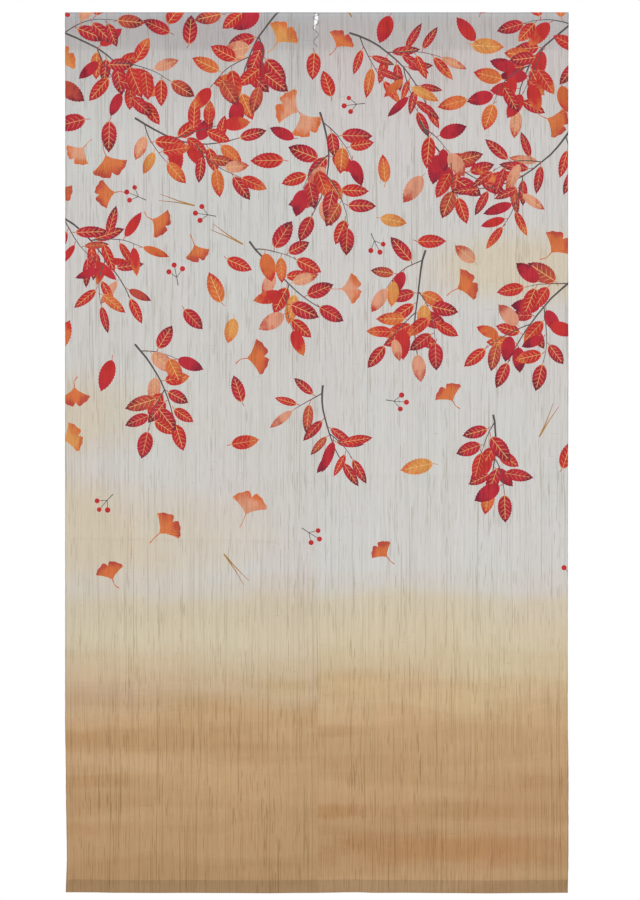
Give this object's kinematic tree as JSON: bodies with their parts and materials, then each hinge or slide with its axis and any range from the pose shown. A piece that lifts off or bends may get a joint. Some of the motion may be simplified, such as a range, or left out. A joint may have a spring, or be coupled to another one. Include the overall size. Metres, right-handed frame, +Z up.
{
  "type": "noren curtain",
  "caption": "Flat hanging doorway curtain of hemp cloth in side-by-side widths, with an empty rod pocket folded over at the head, a slit down the middle and a turned hem.",
  "frame": {"origin": "middle of the top fold, midway between the front and back of the rod pocket", "axes": "+Z up the drop, +X across to the right as seen from the front, -Y towards the front"},
  "size_m": [0.8576, 0.0173, 1.5],
  "materials": {
    "cloth": "matt slubby hemp cloth, undyed at the head and shaded to tan at the hem",
    "thread": "matt spun thread"
  },
  "bodies": {
    "root": {"panel_left": "cloth", "panel_right": "cloth", "heading_left": "cloth", "heading_right": "cloth", "lacing": "thread"}
  },
  "joints": []
}
